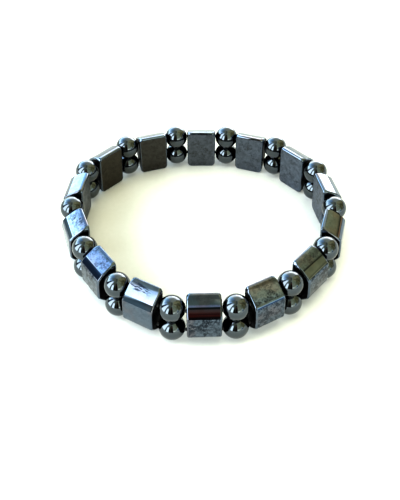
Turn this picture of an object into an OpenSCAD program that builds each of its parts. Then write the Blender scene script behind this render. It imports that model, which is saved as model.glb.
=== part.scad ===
// Two-strand bracelet of polished block beads and pairs of round beads.
// The loop lies flat with its axis upright. Lengths are millimetres and angles degrees.
// The origin is on the surface below the middle of the loop, and the front faces -Y.

/* [Block beads] */
// Length of a block along the cords
block_w = 7.7; // [6:0.1:10]
// Height of a block, across both strands
block_h = 12.6; // [12:0.1:15]
// Thickness of a block, from the wrist side to the outer face
block_t = 5.1; // [4:0.1:7]
// Height of the flat outer face, between the two slopes
face_h = 5.8; // [4:0.1:7]
// Width of the narrow shoulder beside the wrist side
shoulder_w = 0.9; // [0.6:0.05:1.5]
// Fall of the shoulder across its width
shoulder_drop = 0.15; // [0.05:0.01:0.4]
// How far the ridge on each slope stands proud of a straight slope
ridge_rise = 0.3; // [0.1:0.02:0.5]
// Bevel on the long edges of the wrist side
back_bevel = 0.3; // [0.1:0.02:0.5]
// Bevel on the upright edges at both ends of a block
end_bevel = 0.35; // [0.1:0.05:0.6]
// Radius of a block's four corners, seen from the wrist side
corner_r = 0.9; // [0.3:0.1:1.2]

/* [Round beads] */
// Diameter of a round bead
round_d = 6; // [4.5:0.1:6.3]
// Gap between the two round beads of a pair
pair_clear = 0.15; // [0.1:0.01:0.4]

/* [Holes and cords] */
// Diameter of the holes for the cords
hole_d = 1.2; // [1:0.05:1.6]
// Diameter of each elastic cord
cord_d = 0.8; // [0.4:0.05:0.9]

/* [Loop] */
// Gap between a round bead and the block beside it, where they come closest
bead_clear = 0.11; // [0.1:0.01:0.4]
// Inward lean of every bead at its top
lean = 5; // [0:0.5:9]
// Compass heading of the front block, 180 when it lies square to -Y
front_heading = 181; // [170:0.5:190]

/* [Hidden] */
$fn = 48;
cord_sides = 8;

// One row for each block, clockwise from the front as seen from above:
// [turn of the loop at the round pair after it, share of its slope that lies above the ridge]
bead_rows = [
    [30, 0.50],
    [25, 0.70],
    [16, 0.64],
    [28, 0.72],
    [38, 0.68],
    [28, 0.60],
    [17, 0.66],
    [17, 0.70],
    [28, 0.58],
    [33, 0.66],
    [28, 0.62],
    [26, 0.80],
    [19, 0.50],
    [27, 0.86],
];
TURN = 0;
RIDGE = 1;

blocks = len(bead_rows);
steps = 2 * blocks;
pair_step = round_d + pair_clear;

// Plain helpers

function sum(v, count) = count <= 0 ? v[0] * 0 : v[count - 1] + sum(v, count - 1);
function unit(v) = v / norm(v);
function left_of(v) = [-v.y, v.x];
function two_digits(i) = str(i < 10 ? "0" : "", i);

// A point of a bead's cross-section, x outwards and y up, after the bead has leaned
function leaned(p) = [p.x * cos(lean) - p.y * sin(lean), p.y * cos(lean) + p.x * sin(lean)];
pair_offset = leaned([0, pair_step / 2]);

// A closed outline with every edge moved by the same distance to the left of its run
function shifted(outline, distance) =
    let (last = len(outline) - 1)
    [for (i = [0 : last])
        let (
            before = left_of(unit(outline[i] - outline[i > 0 ? i - 1 : last])),
            after = left_of(unit(outline[i < last ? i + 1 : 0] - outline[i]))
        )
        outline[i] + distance * (before + after) / (1 + before * after)];

// The loop: even steps cross a block, odd steps a round pair, and the cords bend between them

function turn_after(block) = bead_rows[(block + blocks) % blocks][TURN];
function heading_of(step) =
    front_heading - sum([for (row = bead_rows) row[TURN]], floor(step / 2))
    - (step % 2) * turn_after(floor(step / 2)) / 2;

// From a bend to either bead beside it. The two stay bead_clear apart on the upper cord,
// which the lean brings closer together than the lower one.
function bend_gap(block) =
    let (bend = turn_after(block) / 2)
    (bead_clear + round_d / 2 * (1 - cos(bend))) / (1 + cos(bend))
    - pair_offset.x * tan(bend / 2);

function bead_length(step) = step % 2 == 0 ? block_w : round_d;
function gap_before(step) = bend_gap(floor((step - 1) / 2));
function gap_after(step) = bend_gap(floor(step / 2));
function step_vector(step) =
    (gap_before(step) + bead_length(step) + gap_after(step))
    * [cos(heading_of(step)), sin(heading_of(step))];

// What the chosen turns leave open is shared out evenly over all the bends
step_vectors = [for (step = [0 : steps - 1]) step_vector(step)];
left_open = sum(step_vectors, steps);
raw_bends = [for (step = [0 : steps - 1]) sum(step_vectors, step) - left_open * step / steps];

function run_of(step) = unit(raw_bends[(step + 1) % steps] - raw_bends[step]);
function raw_middle(step) =
    raw_bends[step] + run_of(step) * (gap_before(step) + bead_length(step) / 2);

// Cross-section of a block: x runs outwards from the holes, y runs up

function slope_top() = [shoulder_w - block_t / 2, block_h / 2 - shoulder_drop];
function slope_foot() = [block_t / 2, face_h / 2];
function ridge(share) =
    let (run = slope_foot() - slope_top())
    slope_top() + share * run + ridge_rise * left_of(unit(run));
function upper_section(share) = [
    [-block_t / 2, block_h / 2 - back_bevel],
    [back_bevel - block_t / 2, block_h / 2],
    slope_top(),
    ridge(share),
    slope_foot()
];
function section(share) =
    let (upper = upper_section(share))
    concat(upper, [for (i = [len(upper) - 1 : -1 : 0]) [upper[i].x, -upper[i].y]]);

// How far a leaning bead reaches down and out from the middle of its holes

leaned_section = [for (p = section(bead_rows[0][RIDGE])) leaned(p)];
block_reach = max([for (p = leaned_section) p.x]);
seat = max(-min([for (p = leaned_section) p.y]), pair_offset.y + round_d / 2);

// The loop is moved so that the origin lies below the middle of its box

block_rims = [for (step = [0 : 2 : steps - 1], side = [-1, 1])
    raw_middle(step) + block_reach * left_of(run_of(step))
    + side * (block_w / 2 - end_bevel) * run_of(step)];
round_rims = [for (step = [1 : 2 : steps - 1], side = [-1, 1])
    raw_middle(step) - pair_offset.x * left_of(run_of(step))
    + side * round_d / 2 * [1, 1]];
rims = concat(block_rims, round_rims);
middle = [
    (min([for (p = rims) p.x]) + max([for (p = rims) p.x])) / 2,
    (min([for (p = rims) p.y]) + max([for (p = rims) p.y])) / 2
];
bends = [for (p = raw_bends) p - middle];

// Puts a bead on its step of the loop: x along the cords, y outwards, z up

module on_step(step) {
    place = raw_middle(step) - middle;
    run = run_of(step);
    translate([place.x, place.y, seat])
        rotate([lean, 0, atan2(run.y, run.x)])
            children();
}

// The block seen from the wrist side, with four round corners
module front_outline() {
    square([block_w - 2 * corner_r, block_h], center = true);
    square([block_w, block_h - 2 * corner_r], center = true);
    for (side = [-1, 1], end = [-1, 1])
        translate([side * (block_w / 2 - corner_r), end * (block_h / 2 - corner_r)])
            circle(r = corner_r);
}

// The block seen from above, with a bevel at each upright edge
module plan_outline() {
    end = block_w / 2;
    face = block_t / 2;
    polygon([
        [end_bevel - end, face], [end - end_bevel, face],
        [end, face - end_bevel], [end, end_bevel - face],
        [end - end_bevel, -face], [end_bevel - end, -face],
        [-end, end_bevel - face], [-end, face - end_bevel]
    ]);
}

module block_bead(i) {
    color("dimgray")
    on_step(2 * i)
        difference() {
            intersection() {
                rotate([90, 0, 90])
                    linear_extrude(block_w, center = true)
                        polygon(section(bead_rows[i][RIDGE]));
                rotate([90, 0, 0])
                    linear_extrude(2 * block_t, center = true)
                        front_outline();
                linear_extrude(2 * block_h, center = true)
                    plan_outline();
            }
            for (level = [-1, 1])
                translate([0, 0, level * pair_step / 2])
                    rotate([0, 90, 0])
                        cylinder(d = hole_d, h = 2 * block_w, center = true);
        }
}

// A drilled ball, turned about its hole
module round_bead(i, level) {
    color("gray")
    on_step(2 * i + 1)
        translate([0, 0, level * pair_step / 2])
            rotate([0, 90, 0])
                rotate_extrude()
                    difference() {
                        circle(d = round_d);
                        translate([-round_d, -round_d])
                            square([round_d + hole_d / 2, 2 * round_d]);
                    }
}

// An elastic cord fills the whole loop on one level, inside the holes
module elastic_cord(level) {
    rings = [for (side = [0 : cord_sides - 1])
        let (
            angle = 360 * (side + 0.5) / cord_sides,
            out = level * pair_offset.x + cord_d / 2 * cos(angle),
            up = seat + level * pair_offset.y + cord_d / 2 * sin(angle)
        )
        [for (p = shifted(bends, out)) [p.x, p.y, up]]];
    color("black")
    polyhedron(
        points = [for (ring = rings, p = ring) p],
        faces = [for (side = [0 : cord_sides - 1], step = [0 : steps - 1])
            let (
                next_side = (side + 1) % cord_sides,
                next_step = (step + 1) % steps
            )
            [side * steps + step, side * steps + next_step,
             next_side * steps + next_step, next_side * steps + step]]
    );
}

for (i = [0 : blocks - 1]) {
    block_bead(i);
    round_bead(i, 1);
    round_bead(i, -1);
}
elastic_cord(1);  // elastic_cord_upper
elastic_cord(-1);  // elastic_cord_lower
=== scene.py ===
import math

import bmesh
import bpy
from mathutils import Matrix, Vector


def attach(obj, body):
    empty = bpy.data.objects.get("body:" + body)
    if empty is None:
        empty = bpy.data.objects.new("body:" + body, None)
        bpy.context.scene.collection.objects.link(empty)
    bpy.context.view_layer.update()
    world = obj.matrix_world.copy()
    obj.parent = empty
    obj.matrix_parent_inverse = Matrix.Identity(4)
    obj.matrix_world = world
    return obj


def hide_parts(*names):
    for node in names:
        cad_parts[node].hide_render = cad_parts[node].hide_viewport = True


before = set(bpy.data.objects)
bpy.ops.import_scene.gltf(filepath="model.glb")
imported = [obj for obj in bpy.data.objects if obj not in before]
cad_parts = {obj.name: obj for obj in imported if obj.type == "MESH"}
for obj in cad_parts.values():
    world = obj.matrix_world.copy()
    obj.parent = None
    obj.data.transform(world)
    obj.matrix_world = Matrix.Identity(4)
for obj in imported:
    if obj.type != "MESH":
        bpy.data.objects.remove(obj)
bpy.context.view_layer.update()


# Node trees: a Wire is one output socket, and arithmetic on it adds Math nodes

class Wire:
    def __init__(self, tree, socket):
        self.tree = tree
        self.socket = socket

    def __add__(self, other):
        return maths(self.tree, "ADD", self, other)

    def __radd__(self, other):
        return maths(self.tree, "ADD", other, self)

    def __sub__(self, other):
        return maths(self.tree, "SUBTRACT", self, other)

    def __rsub__(self, other):
        return maths(self.tree, "SUBTRACT", other, self)

    def __mul__(self, other):
        return maths(self.tree, "MULTIPLY", self, other)

    def __rmul__(self, other):
        return maths(self.tree, "MULTIPLY", other, self)

    def sibling(self, output):  # another output of the same node
        return Wire(self.tree, self.socket.node.outputs[output])

    def rise(self, start, end):  # 0 up to start, 1 from end on, smooth between
        return addNode(
            self.tree, "ShaderNodeMapRange",
            {"interpolation_type": "SMOOTHSTEP"},
            {"Value": self, "From Min": start, "From Max": end},
        )

    def within(self, low, high, soft):  # 1 between low and high, 0 outside, soft at both
        return self.rise(low - soft, low + soft) * (1 - self.rise(high - soft, high + soft))


def addNode(tree, kind, settings=None, inputs=None, output=0):
    node = tree.nodes.new(kind)
    for name, value in (settings or {}).items():
        if name == "stops":
            fillRamp(node.color_ramp, value)
        else:
            setattr(node, name, value)
    for name, value in (inputs or {}).items():
        if isinstance(value, Wire):
            tree.links.new(value.socket, node.inputs[name])
        else:
            node.inputs[name].default_value = value
    return Wire(tree, node.outputs[output]) if node.outputs else None


def fillRamp(ramp, stops):
    while len(ramp.elements) < len(stops):
        ramp.elements.new(1.0)
    for element, (place, colour) in zip(ramp.elements, stops):
        element.position = place
        element.color = tinted(colour)


def maths(tree, operation, *values):
    return addNode(tree, "ShaderNodeMath", {"operation": operation}, dict(enumerate(values)))


def tinted(colour):  # a plain colour as a socket takes it
    return colour if isinstance(colour, Wire) else (*colour, 1)


def blend(below, above, mask):  # a colour Mix node, by the numbers of its colour sockets
    return addNode(
        mask.tree, "ShaderNodeMix",
        {"data_type": "RGBA"},
        {0: mask, 6: tinted(below), 7: tinted(above)},
        output=2,
    )


def noiseAt(place, plan):
    settings = {"Vector": place, "Scale": plan["scale"], "Detail": plan["detail"]}
    return addNode(place.tree, "ShaderNodeTexNoise", None, settings)


def patternAt(place, plan):  # noise with its middle tones pushed apart
    return noiseAt(place, plan).rise(*plan["edge"])


# Camera

view = {
    "place": (-0.0023, -0.1108, 0.1205),
    "lookAt": (-0.00096, -0.00977, 0.0065),
    "lens": 45.74,
    "nearest": 0.01,
}


def placeCamera():
    data = bpy.data.cameras.new("camera")
    data.lens = view["lens"]
    data.clip_start = view["nearest"]
    camera = bpy.data.objects.new("camera", data)
    camera.location = view["place"]
    aim = Vector(view["lookAt"]) - Vector(view["place"])
    camera.rotation_euler = aim.to_track_quat("-Z", "Y").to_euler()
    bpy.context.scene.collection.objects.link(camera)
    bpy.context.scene.camera = camera


placeCamera()
print("camera placed")


# The loop: where each bead lies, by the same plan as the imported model

loopPlan = {
    "frontHeading": 181.0,
    "lean": 5.0,
    "beadClear": 0.11e-3,
    # One value for each block, clockwise from the front as seen from above
    "turns": [30, 25, 16, 28, 38, 28, 17, 17, 28, 33, 28, 26, 19, 27],
    "ridgeShares": [0.50, 0.70, 0.64, 0.72, 0.68, 0.60, 0.66, 0.70, 0.58, 0.66, 0.62, 0.80, 0.50, 0.86],
}
block = {
    "width": 7.7e-3,
    "height": 12.6e-3,
    "thickness": 5.1e-3,
    "faceHeight": 5.8e-3,
    "shoulderWidth": 0.9e-3,
    "shoulderDrop": 0.15e-3,
    "ridgeRise": 0.3e-3,
    "backBevel": 0.3e-3,
    "endBevel": 0.35e-3,
    "cornerRadius": 1.2e-3,
    "cornerCuts": 6,
    "edgeRadius": 0.45e-3,
    "edgeStep": math.radians(20),
    # How far a facet bends from its middle to its sides
    "crown": {"slopeIn": math.radians(4.5), "slopeOut": math.radians(4), "outerFace": math.radians(3)},
    "crownCuts": 3,
    # Radius where a facet meets the one before it
    "softRidge": {"slopeIn": 0.9e-3, "slopeOut": 0.9e-3, "outerFace": 1.5e-3},
    "ridgeCuts": 4,
    # How far the facets are blotched and streaked, the outer faces also darkened as painted shade, and
    # the wrist side rubbed and tinted with a painted reflection, one value for each block
    "slopeBlotches": [0.3, 0.1, 0.8, 1.1, 0.3, 0.5, 0.5, 0.5, 0.5, 0.5, 0.2, 0.3, 0.6, 0.9],
    # Outer faces: partly real blotches, partly painted shade that makes some blocks' faces darker than
    # others
    "faceBlotchesAndShade": [1.7, 0.3, 2.0, 1.3, 0.5, 0.5, 0.5, 0.5, 0.5, 0.5, 0.5, 0.5, 2.2, 1.5],
    "slopeStreaks": [0, 0.95, 0, 0, 0, 0, 0, 0, 0, 0, 0, 0, 0, 0],
    # The wrist side's lighter blue: partly real rub, partly a painted reflection of the windows on blocks
    # whose wrist side faces them
    "wristRubAndPaintedReflection": [0.2, 0.2, 0.2, 0.2, 0.8, 0.0, 0.1, 0.55, 0.75, 0.9, 0.85, 0.4, 0.2, 0.2],
    "wristBlotches": 0.6,
    "shoulderShare": 0.5,  # blotches on the shoulder, as a share of the slope's
}
ball = {
    "diameter": 6e-3,
    "pairClear": 0.15e-3,
    "rimBevel": 0.12e-3,
    "rimCuts": 2,
    "rimAngle": math.radians(40),  # edges sharper than this are the rims of the hole
    "aroundHole": 64,
    "alongHole": 30,
}
bore = {"diameter": 1.2e-3, "flare": 0.08e-3, "sides": 32}
cutTolerance = 1e-8
joinTolerance = 1e-7
blockCount = len(loopPlan["turns"])
pairStep = ball["diameter"] + ball["pairClear"]
lean = math.radians(loopPlan["lean"])


def leaned(point):
    return Vector(point).to_2d() @ Matrix.Rotation(-lean, 2)


def outwardOf(run):
    return Vector((-run.y, run.x))


def bendGap(turn):  # from a bend of the cord to the bead on either side of it
    bend = math.radians(turn / 2)
    touch = loopPlan["beadClear"] + ball["diameter"] / 2 * (1 - math.cos(bend))
    return touch / (1 + math.cos(bend)) + pairStep / 2 * math.sin(lean) * math.tan(bend / 2)


def blockSection(share):  # upper half, outwards and up, from the wrist side to the outer face
    half, top = block["thickness"] / 2, block["height"] / 2
    slopeTop = Vector((block["shoulderWidth"] - half, top - block["shoulderDrop"]))
    slopeFoot = Vector((half, block["faceHeight"] / 2))
    slope = slopeFoot - slopeTop
    ridge = slopeTop + share * slope + block["ridgeRise"] * outwardOf(slope.normalized())
    return [
        Vector((-half, top - block["backBevel"])),
        Vector((block["backBevel"] - half, top)),
        slopeTop,
        ridge,
        slopeFoot,
    ]


def leanedCorners():  # the lower half of the front block's section, leaning
    return [leaned((p.x, -p.y)) for p in blockSection(loopPlan["ridgeShares"][0])]


def layOutLoop():
    turns = loopPlan["turns"]
    heading = math.radians(loopPlan["frontHeading"])
    steps = []
    for index, turn in enumerate(turns):
        before, after = bendGap(turns[index - 1]), bendGap(turn)
        for length, gapBefore in ((block["width"], before), (ball["diameter"], after)):
            run = Vector((math.cos(heading), math.sin(heading)))
            steps.append((gapBefore, length, run * (gapBefore + length + after)))
            heading -= math.radians(turn / 2)
    leftOpen = sum((step[2] for step in steps), Vector((0, 0)))
    bend = Vector((0, 0))
    runs, middles = [], []
    for gapBefore, length, stride in steps:
        stride = stride - leftOpen / len(steps)
        run = stride.normalized()
        runs.append(run)
        middles.append(bend + run * (gapBefore + length / 2))
        bend = bend + stride
    return runs, middles


def bracketLoop(runs, middles):  # the loop's box decides where its middle lies
    reach = max(p.x for p in leanedCorners())
    rims = []
    for index, (run, middle) in enumerate(zip(runs, middles)):
        for side in (-1, 1):
            if index % 2 == 0:
                end = block["width"] / 2 - block["endBevel"]
                rims.append(middle + reach * outwardOf(run) + side * end * run)
            else:
                tilt = pairStep / 2 * math.sin(lean) * outwardOf(run)
                rims.append(middle + tilt + side * ball["diameter"] / 2 * Vector((1, 1)))
    xs, ys = [p.x for p in rims], [p.y for p in rims]
    return Vector(((min(xs) + max(xs)) / 2, (min(ys) + max(ys)) / 2))


def placeBeads():
    runs, middles = layOutLoop()
    centre = bracketLoop(runs, middles)
    low = min(p.y for p in leanedCorners())
    seat = max(-low, pairStep / 2 * math.cos(lean) + ball["diameter"] / 2)
    places = []
    for run, middle in zip(runs, middles):
        spot = middle - centre
        turned = Matrix.Rotation(math.atan2(run.y, run.x), 4, "Z") @ Matrix.Rotation(lean, 4, "X")
        places.append(Matrix.Translation((spot.x, spot.y, seat)) @ turned)
    return places


beadPlaces = placeBeads()
print("loop laid out:", len(beadPlaces), "places")


# Block beads: the facets, and the planes that a grinder would hold a bead against

# The first row goes round the section, from the wrist side to the outer face
facetNames = (
    "backBevel", "shoulder", "slopeIn", "slopeOut", "outerFace",
    "wrist", "corner", "rounding", "end", "seam",
)
facetNumber = {name: number for number, name in enumerate(facetNames)}
facetMaterial = {"wrist": 1, "end": 2}  # which of the block's finishes it takes, 0 for the rest


def crownCuts(first, second, bend, count):  # a facet as a shallow arc, and how it faces at both sides
    run = (second - first).normalized()
    facing = outwardOf(run)
    middle = (first + second) / 2
    if not bend:
        return [(middle, facing)], facing, facing
    radius = (second - first).length / 2 / math.sin(bend)
    hub = middle - facing * radius * math.cos(bend)
    tilts = [bend * ((2 * step + 1) / count - 1) for step in range(count)]
    *normals, arriving, leaving = (
        math.cos(tilt) * facing + math.sin(tilt) * run for tilt in (*tilts, -bend, bend)
    )
    return [(hub + radius * normal, normal) for normal in normals], arriving, leaving


def blendCuts(corner, before, after, radius, count):  # a soft ridge between two facets
    hub = corner - radius * (before + after) / (1 + before @ after)
    normals = [before.lerp(after, (step + 0.5) / count).normalized() for step in range(count)]
    return [(hub + radius * normal, normal) for normal in normals]


def blockCuts(share):  # the planes of a quarter block, each with its facet's name
    upper = blockSection(share)
    corners = upper + [Vector((upper[-1].x, -upper[-1].y))]
    flat = [("wrist", Vector((-block["thickness"] / 2, 0)), Vector((-1, 0)))]
    leaving = None
    for name, first, second in zip(facetNames, corners, corners[1:]):
        cuts, arriving, left = crownCuts(first, second, block["crown"].get(name, 0), block["crownCuts"])
        if name in block["softRidge"]:
            radius = block["softRidge"][name]
            blends = blendCuts(first, leaving, arriving, radius, block["ridgeCuts"])
            flat += [(name, *cut) for cut in blends]
        flat += [(name, *cut) for cut in cuts]
        leaving = left
    planes = [(name, Vector((0, p.x, p.y)), Vector((0, n.x, n.y))) for name, p, n in flat]
    radius, count = block["cornerRadius"], block["cornerCuts"]
    hub = Vector((block["width"] / 2 - radius, 0, block["height"] / 2 - radius))
    for cut in range(count):
        angle = math.pi / 2 * (cut + 0.5) / count
        facing = Vector((math.cos(angle), 0, math.sin(angle)))
        planes.append(("corner", hub + radius * facing, facing))
    return planes


def quarterBlank(shrink):  # the upper half of one end, with room to grind
    blank = bmesh.new()
    layer = blank.faces.layers.int.new("facet")
    size = Vector((block["width"] / 2 - shrink, 2 * block["thickness"], block["height"]))
    spot = Matrix.Translation((size.x / 2, 0, size.z / 2))
    bmesh.ops.create_cube(blank, size=1, matrix=spot @ Matrix.Diagonal((*size, 1)))
    for face in blank.faces:
        face[layer] = facetNumber["end" if face.normal.x > 0.5 else "seam"]
    return blank


def grind(blank, point, normal, facet):  # takes off what lies beyond the plane
    everything = blank.verts[:] + blank.edges[:] + blank.faces[:]
    cut = bmesh.ops.bisect_plane(
        blank, geom=everything, dist=cutTolerance, plane_co=point, plane_no=normal, clear_outer=True
    )
    rim = [part for part in cut["geom_cut"] if isinstance(part, bmesh.types.BMEdge)]
    if len(rim) > 2:
        layer = blank.faces.layers.int["facet"]
        for face in bmesh.ops.contextual_create(blank, geom=rim)["faces"]:
            face[layer] = facetNumber[facet]
            face.smooth = True


def roundedQuarter(share):  # a ball of the edge radius is rolled round a smaller core
    radius = block["edgeRadius"]
    core, solid = quarterBlank(radius), quarterBlank(0)
    for name, point, normal in blockCuts(share):
        grind(core, point - radius * normal, normal, name)
        grind(solid, point, normal, name)
    layer = core.faces.layers.int["facet"]
    core.normal_update()
    for edge in core.edges:
        one, other = edge.link_faces
        if facetNumber["seam"] in (one[layer], other[layer]):
            continue
        steps = math.ceil(one.normal.angle(other.normal) / block["edgeStep"])
        for step in range(1, steps):
            normal = one.normal.slerp(other.normal, step / steps)
            grind(solid, edge.verts[0].co + radius * normal, normal, "rounding")
    core.free()
    return solid


def drillQuarter(solid):  # opens the seams, then sinks the upper hole from the end to the middle
    layer = solid.faces.layers.int["facet"]
    seams = [face for face in solid.faces if face[layer] == facetNumber["seam"]]
    bmesh.ops.delete(solid, geom=seams, context="FACES")
    cap = max(solid.faces, key=lambda face: face.normal.x * face.calc_area())
    outline = cap.edges[:]
    bmesh.ops.delete(solid, geom=[cap], context="FACES_ONLY")
    end, flare, wall = block["width"] / 2, bore["flare"], bore["diameter"] / 2
    rings = []
    for along, radius in ((end, wall + flare), (end - flare, wall), (0, wall)):
        spot = Matrix.Translation((along, 0, pairStep / 2)) @ Matrix.Rotation(math.pi / 2, 4, "Y")
        ring = bmesh.ops.create_circle(
            solid, cap_ends=False, radius=radius, segments=bore["sides"], matrix=spot
        )
        rings.append(list(dict.fromkeys(edge for vert in ring["verts"] for edge in vert.link_edges)))
    filled = bmesh.ops.triangle_fill(solid, use_beauty=True, edges=outline + rings[0], normal=(1, 0, 0))
    made = [part for part in filled["geom"] if isinstance(part, bmesh.types.BMFace)]
    for outer, inner in zip(rings, rings[1:]):
        made += bmesh.ops.bridge_loops(solid, edges=outer + inner)["faces"]
    for face in made:
        face[layer] = facetNumber["end"]
        face.smooth = True


def mirrorQuarter(solid):
    for axis in ("Z", "X"):
        everything = solid.verts[:] + solid.edges[:] + solid.faces[:]
        bmesh.ops.mirror(solid, geom=everything, axis=axis, merge_dist=joinTolerance)
    bmesh.ops.remove_doubles(solid, verts=solid.verts[:], dist=joinTolerance)
    bmesh.ops.recalc_face_normals(solid, faces=solid.faces[:])


def markWear(solid, index):  # how blotched, streaked and rubbed each facet of this block is, with painted shade on outer faces and a painted reflection on the wrist side
    layer = solid.faces.layers.int["facet"]
    blotched = solid.faces.layers.float.new("blotched")
    streaked = solid.faces.layers.float.new("streaked")
    rubbed = solid.faces.layers.float.new("rubbed")
    onSlope = block["slopeBlotches"][index]
    blotches = {
        "slopeIn": onSlope,
        "shoulder": onSlope * block["shoulderShare"],
        "outerFace": block["faceBlotchesAndShade"][index],
        "wrist": block["wristBlotches"],
    }
    streaks = {"slopeIn": block["slopeStreaks"][index]}
    for face in solid.faces:
        name = facetNames[face[layer]]
        face[blotched] = blotches.get(name, 0)
        face[streaked] = streaks.get(name, 0)
        face[rubbed] = block["wristRubAndPaintedReflection"][index]
        face.material_index = facetMaterial.get(name, 0)
    rounding = facetNumber["rounding"]
    for edge in solid.edges:
        kinds = {face[layer] for face in edge.link_faces}
        edge.smooth = not (rounding in kinds and len(kinds) > 1)


def unwrapLocal(solid):  # a flat map in the bead's own directions: along the cords, then up
    layer = solid.loops.layers.uv.new("bead")
    for face in solid.faces:
        for loop in face.loops:
            loop[layer].uv = (loop.vert.co.x, loop.vert.co.z - loop.vert.co.y)


def finishPiece(name, solid, place, node, materials):
    unwrapLocal(solid)
    bmesh.ops.transform(solid, matrix=place, verts=solid.verts[:])
    data = bpy.data.meshes.new(name)
    solid.to_mesh(data)
    solid.free()
    for material in materials:
        data.materials.append(material)
    piece = bpy.data.objects.new(name, data)
    bpy.context.scene.collection.objects.link(piece)
    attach(piece, "root")
    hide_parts(node)


def makeBlock(index, materials):
    solid = roundedQuarter(loopPlan["ridgeShares"][index])
    drillQuarter(solid)
    mirrorQuarter(solid)
    markWear(solid, index)
    name = f"block_{index + 1:02d}"
    node = f"block_bead_{index + 1:02d}"
    finishPiece(name, solid, beadPlaces[2 * index], node, materials)


# Round beads: an arc is spun round the hole, and both rims are bevelled

def makeBall(index, level, materials):
    solid = bmesh.new()
    radius = ball["diameter"] / 2
    start = math.asin(bore["diameter"] / ball["diameter"])
    rim = solid.verts.new((radius * math.cos(start), radius * math.sin(start), 0))
    bmesh.ops.spin(
        solid, geom=[rim], cent=(0, 0, 0), axis=(0, 0, 1), angle=math.pi - 2 * start,
        steps=ball["alongHole"], use_duplicate=False,
    )
    ends = [vert for vert in solid.verts if len(vert.link_edges) == 1]
    solid.edges.new(ends)
    bmesh.ops.spin(
        solid, geom=solid.verts[:] + solid.edges[:], cent=(0, 0, 0), axis=(1, 0, 0),
        angle=2 * math.pi, steps=ball["aroundHole"], use_merge=True, use_duplicate=False,
    )
    bmesh.ops.recalc_face_normals(solid, faces=solid.faces[:])
    rims = [edge for edge in solid.edges if edge.calc_face_angle() > ball["rimAngle"]]
    bmesh.ops.bevel(
        solid, geom=rims, offset=ball["rimBevel"], offset_type="OFFSET", segments=ball["rimCuts"],
        profile=0.5, affect="EDGES", material=-1,
    )
    for face in solid.faces:
        face.smooth = True
    row = "upper" if level > 0 else "lower"
    place = beadPlaces[2 * index + 1] @ Matrix.Translation((0, 0, level * pairStep / 2))
    name = f"round_{row}_{index + 1:02d}"
    node = f"round_bead_{row}_{index + 1:02d}"
    finishPiece(name, solid, place, node, materials)


# Finishes

# Light is the colour of a clean spot and dark that of a stained one, on outer faces partly painted shade.
# Rim is the mirror's tint near a bead's outline. Tarnished is a second light colour, in patches. Rubbed
# is a lighter blue on the wrist side, partly real rub and partly a painted reflection of the windows.
hematite = {
    "polished": {
        "light": (0.138, 0.169, 0.210), "dark": (0.026, 0.034, 0.046), "rim": (1.0, 1.0, 1.0),
        "tarnished": (0.158, 0.160, 0.184), "roughness": 0.02,
    },
    "satin": {
        "light": (0.066, 0.059, 0.045), "dark": (0.028, 0.025, 0.019), "rim": (1.0, 1.0, 1.0),
        # Lighter blue of the wrist's rub: partly real, partly a painted reflection of the windows
        "rubbed": (0.165, 0.200, 0.262), "roughness": 0.36,
    },
    # Ends: near black, a painted shade for where they sit closed in between the beads
    "endShade": {
        "light": (0.005, 0.0045, 0.005), "dark": (0.003, 0.003, 0.003), "rim": (0.6, 0.6, 0.6),
        "roughness": 0.5,
    },
    "mirror": {
        "light": (0.100, 0.113, 0.126), "dark": (0.073, 0.081, 0.090), "rim": (1.0, 1.0, 1.0),
        "roughness": 0.015,
    },
}
stains = {
    "blotches": {"scale": 1080, "detail": 4.0, "edge": (0.43, 0.58), "strength": 0.5},
    "specks": {"scale": 2900, "detail": 3.0, "edge": (0.49, 0.62), "strength": 0.45},
    "patches": {"scale": 330, "detail": 2.0, "edge": (0.38, 0.62), "least": 0.5},  # where stains gather
    "tarnish": {"scale": 260, "detail": 3.0, "edge": (0.46, 0.66)},
    "waves": {
        "scale": 420, "detail": 2.0, "edge": (0.3, 0.7), "strength": 0.2, "bump": 1.0, "depth": 0.4e-6,
    },
    "streaks": {
        "scale": 1.0, "detail": 3.0, "edge": (0.44, 0.60),
        "turn": math.radians(-34), "stretch": (520, 1700, 1),
        # An oval on the bead's flat map holds them, and they fade near its edge
        "middle": (1.4e-3, 6.2e-3, 0), "tilt": math.radians(8), "reach": (3.6e-3, 1.5e-3, 1),
        "fade": (0.55, 1.15),
    },
    "pitted": 0.22,  # extra roughness in a stain
}
elastic = {
    "valley": (0.012, 0.012, 0.013), "rib": (0.03, 0.03, 0.03), "roughness": 0.6,
    "weave": {"scale": 6000, "detail": 2.0}, "bump": 0.5, "depth": 5e-5,
}


def newMaterial(name):
    material = bpy.data.materials.new(name)
    material.use_nodes = True
    material.node_tree.nodes.clear()
    return material, material.node_tree


def outputTo(tree, shader):
    addNode(tree, "ShaderNodeOutputMaterial", None, {"Surface": shader})


def objectPlace(tree):
    return addNode(tree, "ShaderNodeTexCoord", output="Object")


def wearOf(tree, name):
    return addNode(tree, "ShaderNodeAttribute", {"attribute_name": name}, output="Fac")


def bumpFrom(height, strength, depth):
    inputs = {"Height": height, "Strength": strength, "Distance": depth}
    return addNode(height.tree, "ShaderNodeBump", None, inputs, output="Normal")


def streaksOn(tree):
    plan = stains["streaks"]
    along = addNode(tree, "ShaderNodeUVMap", {"uv_map": "bead"}, output="UV")
    turned = addNode(
        tree, "ShaderNodeMapping", None,
        {"Vector": along, "Rotation": (0, 0, plan["turn"]), "Scale": plan["stretch"]},
    )
    near = addNode(
        tree, "ShaderNodeMapping",
        {"vector_type": "TEXTURE"},
        {
            "Vector": along, "Location": plan["middle"],
            "Rotation": (0, 0, plan["tilt"]), "Scale": plan["reach"],
        },
    )
    away = addNode(tree, "ShaderNodeVectorMath", {"operation": "LENGTH"}, {0: near}, output="Value")
    return patternAt(turned, plan) * (1 - away.rise(*plan["fade"]))


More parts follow.
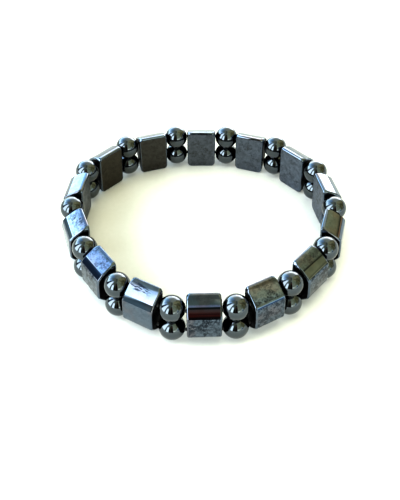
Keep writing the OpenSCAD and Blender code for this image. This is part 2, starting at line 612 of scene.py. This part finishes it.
# Blotches and streaks as a mask towards the dark colour; on the outer faces partly painted shade
def stainsAndShadeOn(tree, place):
    blotches, specks, patches = stains["blotches"], stains["specks"], stains["patches"]
    spread = patternAt(place, blotches) * blotches["strength"]
    spread = spread + patternAt(place, specks) * specks["strength"]
    gathered = patternAt(place, patches) * (1 - patches["least"]) + patches["least"]
    return spread * gathered * wearOf(tree, "blotched") + streaksOn(tree) * wearOf(tree, "streaked")


def hematiteFinish(name, finish):
    material, tree = newMaterial(name)
    place = objectPlace(tree)
    light = finish["light"]
    if "tarnished" in finish:
        light = blend(light, finish["tarnished"], patternAt(place, stains["tarnish"]))
    if "rubbed" in finish:
        # Painted reflection of the windows, blended in with the wrist's rub
        light = blend(light, finish["rubbed"], wearOf(tree, "rubbed"))
    stainsAndShade = stainsAndShadeOn(tree, place)
    waves = stains["waves"]
    swell = noiseAt(place, waves)
    shade = swell.rise(*waves["edge"]) * waves["strength"] + stainsAndShade
    shader = addNode(
        tree, "ShaderNodeBsdfPrincipled", None,
        {
            "Base Color": blend(light, finish["dark"], shade),
            "Metallic": 1.0,
            "Specular Tint": tinted(finish["rim"]),
            "Roughness": stainsAndShade * stains["pitted"] + finish["roughness"],
            "Normal": bumpFrom(swell, waves["bump"], waves["depth"]),
        },
    )
    outputTo(tree, shader)
    return material


def elasticFinish():
    material, tree = newMaterial("elastic")
    ribs = noiseAt(objectPlace(tree), elastic["weave"])
    shader = addNode(
        tree, "ShaderNodeBsdfPrincipled", None,
        {
            "Base Color": blend(elastic["valley"], elastic["rib"], ribs),
            "Roughness": elastic["roughness"],
            "Normal": bumpFrom(ribs, elastic["bump"], elastic["depth"]),
        },
    )
    outputTo(tree, shader)
    return material


blockFinishes = [
    hematiteFinish("polishedFacets", hematite["polished"]),
    hematiteFinish("satinWristSide", hematite["satin"]),
    hematiteFinish("endShadeFinish", hematite["endShade"]),
]
ballFinishes = [hematiteFinish("mirrorBall", hematite["mirror"])]
for index in range(blockCount):
    makeBlock(index, blockFinishes)
    for level in (-1, 1):
        makeBall(index, level, ballFinishes)
cordFinish = elasticFinish()
for node in ("elastic_cord_upper", "elastic_cord_lower"):
    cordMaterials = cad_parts[node].data.materials
    cordMaterials.clear()
    cordMaterials.append(cordFinish)
print("beads made:", blockCount, "blocks and", 2 * blockCount, "balls")


# Floor

floorPlan = {
    "radius": 2.0,
    "sides": 96,
    "pale": (0.388, 0.388, 0.378),
    "paler": (0.422, 0.422, 0.412),
    "grain": {"scale": 900, "detail": 3.0},
    "roughness": 0.8,
}


def makeFloor():
    sheet = bmesh.new()
    bmesh.ops.create_circle(
        sheet, cap_ends=True, radius=floorPlan["radius"], segments=floorPlan["sides"]
    )
    data = bpy.data.meshes.new("floor")
    sheet.to_mesh(data)
    sheet.free()
    material, tree = newMaterial("paleFloor")
    grain = noiseAt(objectPlace(tree), floorPlan["grain"])
    colour = blend(floorPlan["pale"], floorPlan["paler"], grain)
    finish = {"Base Color": colour, "Roughness": floorPlan["roughness"]}
    outputTo(tree, addNode(tree, "ShaderNodeBsdfPrincipled", None, finish))
    data.materials.append(material)
    floor = bpy.data.objects.new("floor", data)
    bpy.context.scene.collection.objects.link(floor)


makeFloor()


# Lamps: they light the floor, and no bead mirrors them

lamps = {
    "overhead": {"diameter": 0.5, "place": (0, 0, 0.7), "power": 4.1, "colour": (1.0, 0.98, 0.78)},
    "window": {"diameter": 0.3, "place": (-0.50, -0.05, 0.42), "power": 2.4, "colour": (0.95, 1.0, 1.0)},
    "side": {"diameter": 0.25, "place": (0.54, -0.45, 0.10), "power": 9.5, "colour": (0.93, 0.98, 1.0)},
    "front": {"diameter": 0.25, "place": (-0.12, -0.58, 0.12), "power": 3.5, "colour": (0.85, 0.95, 1.0)},
}


def addLamp(name, plan):
    data = bpy.data.lights.new(name, "AREA")
    data.shape = "DISK"
    data.size = plan["diameter"]
    data.energy = plan["power"]
    data.color = plan["colour"]
    lamp = bpy.data.objects.new(name, data)
    lamp.location = plan["place"]
    lamp.rotation_euler = (-Vector(plan["place"])).to_track_quat("-Z", "Y").to_euler()
    lamp.visible_glossy = False
    lamp.visible_camera = False
    bpy.context.scene.collection.objects.link(lamp)


for lampName, lampPlan in lamps.items():
    addLamp(lampName, lampPlan)


# Room that the beads mirror

# Bearings are degrees, 0 towards the camera and minus to its left. Heights are degrees above the
# horizon.
room = {
    "brightness": 6.4,
    "seenByCamera": (0.14, 0.14, 0.14),
    "wall": [
        (0, (0.25, 0.25, 0.21)), (20, (0.20, 0.20, 0.15)), (40, (0.21, 0.225, 0.165)),
        (90, (0.23, 0.245, 0.18)),
    ],
    "ceiling": [  # from left to right, by degrees from the zenith
        (-50, (0.13, 0.20, 0.26)), (-30, (0.115, 0.169, 0.189)), (-14, (0.128, 0.130, 0.100)),
        (-5, (0.120, 0.126, 0.095)), (-2, (0.060, 0.070, 0.060)), (7, (0.072, 0.084, 0.068)),
        (11, (0.215, 0.225, 0.165)), (25, (0.235, 0.250, 0.185)), (45, (0.20, 0.205, 0.15)),
    ],
    "ceilingFrom": (70, 80),
    "plants": {
        "dark": (0.050, 0.055, 0.025), "light": (0.135, 0.128, 0.072),
        "scale": 9, "detail": 4.0, "edge": (0.40, 0.62),
        "sway": 60, "span": (60, 142), "heights": (8, 78), "soft": 3,
    },
    "canopy": {"colour": (0.215, 0.206, 0.128), "from": (44, 52)},
    "twigs": {
        "scale": 26, "detail": 3.0, "edge": (0.46, 0.60), "strength": 0.6,
        "span": (12, 62), "spanSoft": 6, "heights": (14, 70), "heightSoft": 5,
    },
}
# Each row lies over the ones before it. Span is its bearings from and to, soft how far its sides
# fade, slant how far they lean with height, and colours what it shows at each height.
roomRows = [
    {"span": (10, 46), "soft": 4, "colours": [  # wall on the right
        (0, (0.20, 0.22, 0.18)), (8, (0.34, 0.36, 0.31)), (18, (0.34, 0.35, 0.29)),
        (26, (0.19, 0.21, 0.15)), (34, (0.27, 0.285, 0.225)), (50, (0.215, 0.235, 0.17)),
        (70, (0.23, 0.25, 0.185)),
    ]},
    {"span": (10, 27), "soft": 3, "colours": [  # sunlit strip low on it
        (5, (0.20, 0.22, 0.18)), (8, (0.62, 0.64, 0.56)), (15, (0.58, 0.59, 0.52)),
        (21, (0.19, 0.21, 0.15)), (34, (0.27, 0.285, 0.225)), (50, (0.215, 0.235, 0.17)),
        (70, (0.23, 0.25, 0.185)),
    ]},
    {"span": (46, 58), "soft": 3, "colours": [  # small window
        (2, (0.16, 0.19, 0.20)), (5, (0.07, 0.10, 0.13)), (11, (0.05, 0.08, 0.12)),
        (14, (0.32, 0.41, 0.43)), (20, (0.37, 0.42, 0.40)), (26, (0.15, 0.16, 0.10)),
        (60, (0.19, 0.20, 0.13)),
    ]},
    {"span": (80, 92), "soft": 1.5, "colours": [  # golden wood
        (14, (0.10, 0.11, 0.09)), (18, (0.22, 0.19, 0.10)), (22, (0.06, 0.055, 0.03)),
        (25, (0.15, 0.135, 0.066)), (34, (0.125, 0.112, 0.054)), (44, (0.110, 0.098, 0.052)),
    ]},
    {"span": (92, 96), "soft": 1.2, "colours": [  # dark post beside it
        (8, (0.016, 0.014, 0.008)), (45, (0.02, 0.017, 0.009)), (60, (0.085, 0.080, 0.042)),
    ]},
    {"span": (112, 128), "soft": 2, "colours": [  # shelf with an orange edge
        (3, (0.16, 0.19, 0.19)), (12.5, (0.02, 0.018, 0.012)), (14, (0.26, 0.15, 0.07)),
        (15.5, (0.26, 0.16, 0.08)), (16.5, (0.020, 0.018, 0.010)), (19, (0.14, 0.118, 0.058)),
        (26, (0.175, 0.163, 0.085)), (36, (0.20, 0.188, 0.105)),
    ]},
    {"span": (140, 200), "soft": 6, "colours": [  # lit wall behind the beads
        (12, (1.0, 0.99, 0.95)), (23, (0.90, 0.89, 0.86)), (30, (0.30, 0.30, 0.28)),
        (50, (0.21, 0.22, 0.18)),
    ]},
    {"span": (-200, -153), "soft": 6, "colours": [  # the same wall, further left
        (24, (0.70, 0.72, 0.72)), (32, (0.29, 0.33, 0.34)), (50, (0.18, 0.19, 0.17)),
    ]},
    {"span": (-158, -135), "soft": 3, "colours": [  # sky through the windows on the left
        (8, (0.58, 0.76, 0.85)), (18, (0.48, 0.66, 0.78)), (28, (0.29, 0.46, 0.58)),
        (36, (0.21, 0.33, 0.42)), (44, (0.14, 0.215, 0.32)), (54, (0.13, 0.20, 0.29)),
        (64, (0.11, 0.13, 0.125)),
    ]},
    {"span": (-135, -113), "soft": 3, "colours": [  # bright window over a dark sill
        (3, (0.06, 0.08, 0.08)), (10, (0.08, 0.11, 0.12)), (13, (0.85, 1.0, 1.0)),
        (24, (0.70, 0.90, 1.0)), (29, (0.41, 0.56, 0.72)), (35, (0.315, 0.44, 0.60)),
        (43, (0.19, 0.29, 0.36)), (54, (0.115, 0.165, 0.19)), (66, (0.12, 0.14, 0.125)),
        (75, (0.13, 0.135, 0.105)),
    ]},
    {"span": (-113, -93), "soft": 3, "colours": [  # the same, reaching higher
        (3, (0.06, 0.08, 0.08)), (8, (0.10, 0.13, 0.14)), (12, (0.85, 1.0, 1.0)),
        (31, (0.85, 1.0, 1.0)), (34, (0.40, 0.55, 0.74)), (46, (0.305, 0.43, 0.62)),
        (52, (0.19, 0.28, 0.35)), (60, (0.12, 0.17, 0.19)), (68, (0.12, 0.14, 0.125)),
        (75, (0.13, 0.135, 0.105)),
    ]},
    {"span": (-105, -91), "soft": 2, "slant": 0.17, "colours": [  # bar between two panes
        (10, (0.010, 0.016, 0.026)), (22, (0.014, 0.026, 0.044)), (26, (0.030, 0.060, 0.100)),
        (48, (0.022, 0.036, 0.062)), (54, (0.16, 0.22, 0.26)), (66, (0.12, 0.14, 0.125)),
        (75, (0.13, 0.135, 0.105)),
    ]},
    {"span": (-91, -60), "soft": 2, "slant": 0.17, "colours": [  # wide pane
        (52, (0.86, 0.94, 0.97)), (60, (0.54, 0.64, 0.73)), (68, (0.20, 0.26, 0.30)),
        (75, (0.13, 0.135, 0.105)),
    ]},
    {"span": (-58, -47), "soft": 2, "colours": [  # second bar
        (31, (0.072, 0.095, 0.10)), (37, (0.045, 0.060, 0.063)), (40, (0.006, 0.008, 0.009)),
        (48, (0.006, 0.008, 0.009)), (52, (0.10, 0.13, 0.13)), (68, (0.10, 0.11, 0.085)),
    ]},
    {"span": (-47, -27), "soft": 2, "colours": [  # narrow pane
        (38, (0.88, 0.97, 1.0)), (46, (0.20, 0.24, 0.25)), (56, (0.085, 0.095, 0.075)),
    ]},
    {"span": (-28, -9), "soft": 2, "colours": [  # dark green frame
        (0, (0.008, 0.008, 0.005)), (20, (0.012, 0.013, 0.008)), (36, (0.030, 0.033, 0.020)),
        (52, (0.060, 0.068, 0.050)), (68, (0.10, 0.11, 0.085)),
    ]},
    {"span": (-9, 10), "soft": 2, "colours": [  # dark boards with red edges, and a pale line above
        (39, (0.006, 0.004, 0.004)), (40.5, (0.045, 0.009, 0.006)), (43, (0.014, 0.005, 0.004)),
        (44.5, (0.060, 0.013, 0.009)), (46.5, (0.020, 0.006, 0.005)), (48, (0.050, 0.016, 0.012)),
        (50, (0.065, 0.036, 0.028)), (53, (0.055, 0.038, 0.032)), (54, (0.008, 0.010, 0.008)),
        (62, (0.010, 0.012, 0.012)), (65, (0.14, 0.15, 0.17)), (67.5, (0.13, 0.14, 0.16)),
        (69, (0.072, 0.084, 0.068)),
    ]},
]


def byDegrees(angle, stops, least=0, most=90):
    reach = most - least
    placed = [((degrees - least) / reach, colour) for degrees, colour in stops]
    share = (angle - least) * (1 / reach)
    return addNode(angle.tree, "ShaderNodeValToRGB", {"stops": placed}, {"Fac": share}, output="Color")


def plantsAt(direction, bearing, height):  # leaves that grow lighter towards the top, and their mask
    plan, canopy = room["plants"], room["canopy"]
    leaves = noiseAt(direction, plan)
    colour = blend(plan["dark"], plan["light"], leaves.rise(*plan["edge"]))
    colour = blend(colour, canopy["colour"], height.rise(*canopy["from"]))
    swayed = bearing + leaves * plan["sway"] - plan["sway"] / 2
    mask = swayed.within(*plan["span"], plan["soft"]) * height.within(*plan["heights"], plan["soft"])
    return colour, mask


def twigsAt(direction, bearing, height):
    plan = room["twigs"]
    thin = patternAt(direction, plan) * plan["strength"]
    return (
        thin * bearing.within(*plan["span"], plan["spanSoft"])
        * height.within(*plan["heights"], plan["heightSoft"])
    )


def lightRoom():
    world = bpy.data.worlds.new("studio")
    bpy.context.scene.world = world
    world.use_nodes = True
    tree = world.node_tree
    tree.nodes.clear()
    direction = addNode(tree, "ShaderNodeTexCoord", output="Generated")
    x = addNode(tree, "ShaderNodeSeparateXYZ", None, {"Vector": direction}, output="X")
    y, z = x.sibling("Y"), x.sibling("Z")
    bearing = maths(tree, "ARCTAN2", x, 0 - y) * math.degrees(1)
    height = maths(tree, "ARCSINE", z) * math.degrees(1)
    rightOfZenith = maths(tree, "ARCSINE", x) * math.degrees(1)
    colour = byDegrees(height, room["wall"])
    plants, plantMask = plantsAt(direction, bearing, height)
    colour = blend(colour, plants, plantMask)
    for row in roomRows:
        leaning = bearing - height * row.get("slant", 0)
        mask = leaning.within(*row["span"], row["soft"])
        colour = blend(colour, byDegrees(height, row["colours"]), mask)
    colour = blend(colour, room["plants"]["dark"], twigsAt(direction, bearing, height))
    ceiling = byDegrees(rightOfZenith, room["ceiling"], least=-90)
    colour = blend(colour, ceiling, height.rise(*room["ceilingFrom"]))
    seen = addNode(tree, "ShaderNodeLightPath", output="Is Camera Ray")
    colour = blend(colour, room["seenByCamera"], seen)
    glow = addNode(
        tree, "ShaderNodeBackground", None, {"Color": colour, "Strength": room["brightness"]}
    )
    addNode(tree, "ShaderNodeOutputWorld", None, {"Surface": glow})


lightRoom()


# Exposure of the picture

picture = {"transform": "Standard", "exposure": 0.5, "gamma": 0.75}
viewSettings = bpy.context.scene.view_settings
viewSettings.view_transform = picture["transform"]
viewSettings.exposure = picture["exposure"]
viewSettings.gamma = picture["gamma"]
print("floor and light made")
